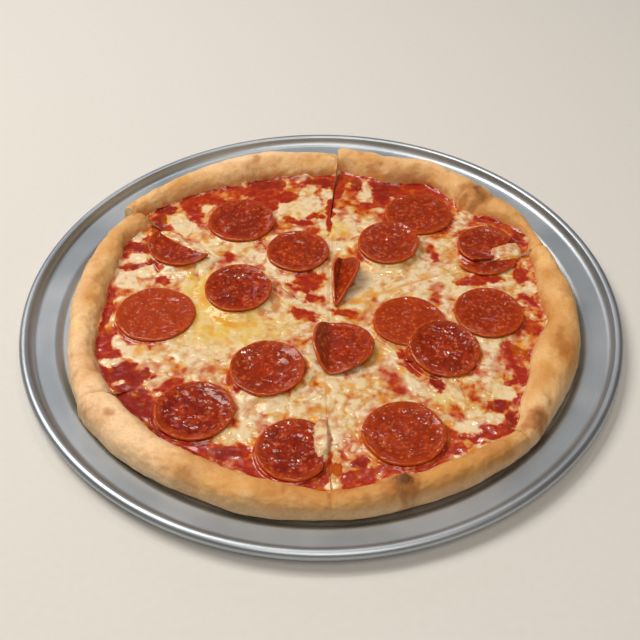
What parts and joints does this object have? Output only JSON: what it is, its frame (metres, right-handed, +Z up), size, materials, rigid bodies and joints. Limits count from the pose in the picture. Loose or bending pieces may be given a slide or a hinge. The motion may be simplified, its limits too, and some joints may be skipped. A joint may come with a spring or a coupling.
{
  "type": "pepperoni pizza on pan",
  "caption": "Round hand-tossed pepperoni pizza, cut into slices still in place, on a wide-rim round metal pizza pan with a rolled edge.",
  "frame": {"origin": "centre of the pan, on the table it rests on", "axes": "+Z up, the pan's axis; -Y towards the front of the picture; +X to its right"},
  "size_m": [0.3558, 0.3558, 0.0233],
  "materials": {
    "pan": "satin, brushed in rings",
    "dough": "matte baked crust",
    "sauce": "wet tomato sauce",
    "cheese": "melted cheese, slightly oily",
    "pepperoni": "oily cured sausage"
  },
  "bodies": {
    "root": {"pan": "pan", "slice_1_dough": "dough", "slice_1_sauce": "sauce", "slice_1_cheese": "cheese", "slice_2_dough": "dough", "slice_2_sauce": "sauce", "slice_2_cheese": "cheese", "slice_3_dough": "dough", "slice_3_sauce": "sauce", "slice_3_cheese": "cheese", "slice_4_dough": "dough", "slice_4_sauce": "sauce", "slice_4_cheese": "cheese", "slice_5_dough": "dough", "slice_5_sauce": "sauce", "slice_5_cheese": "cheese", "slice_6_dough": "dough", "slice_6_sauce": "sauce", "slice_6_cheese": "cheese", "pepperoni_01": "pepperoni", "pepperoni_02": "pepperoni", "pepperoni_03": "pepperoni", "pepperoni_04": "pepperoni", "pepperoni_05": "pepperoni", "pepperoni_06": "pepperoni", "pepperoni_07": "pepperoni", "pepperoni_08": "pepperoni", "pepperoni_09": "pepperoni", "pepperoni_10": "pepperoni", "pepperoni_11": "pepperoni", "pepperoni_12": "pepperoni", "pepperoni_13": "pepperoni", "pepperoni_14": "pepperoni", "pepperoni_15": "pepperoni", "pepperoni_16": "pepperoni", "pepperoni_17": "pepperoni", "pepperoni_18": "pepperoni"}
  },
  "joints": []
}
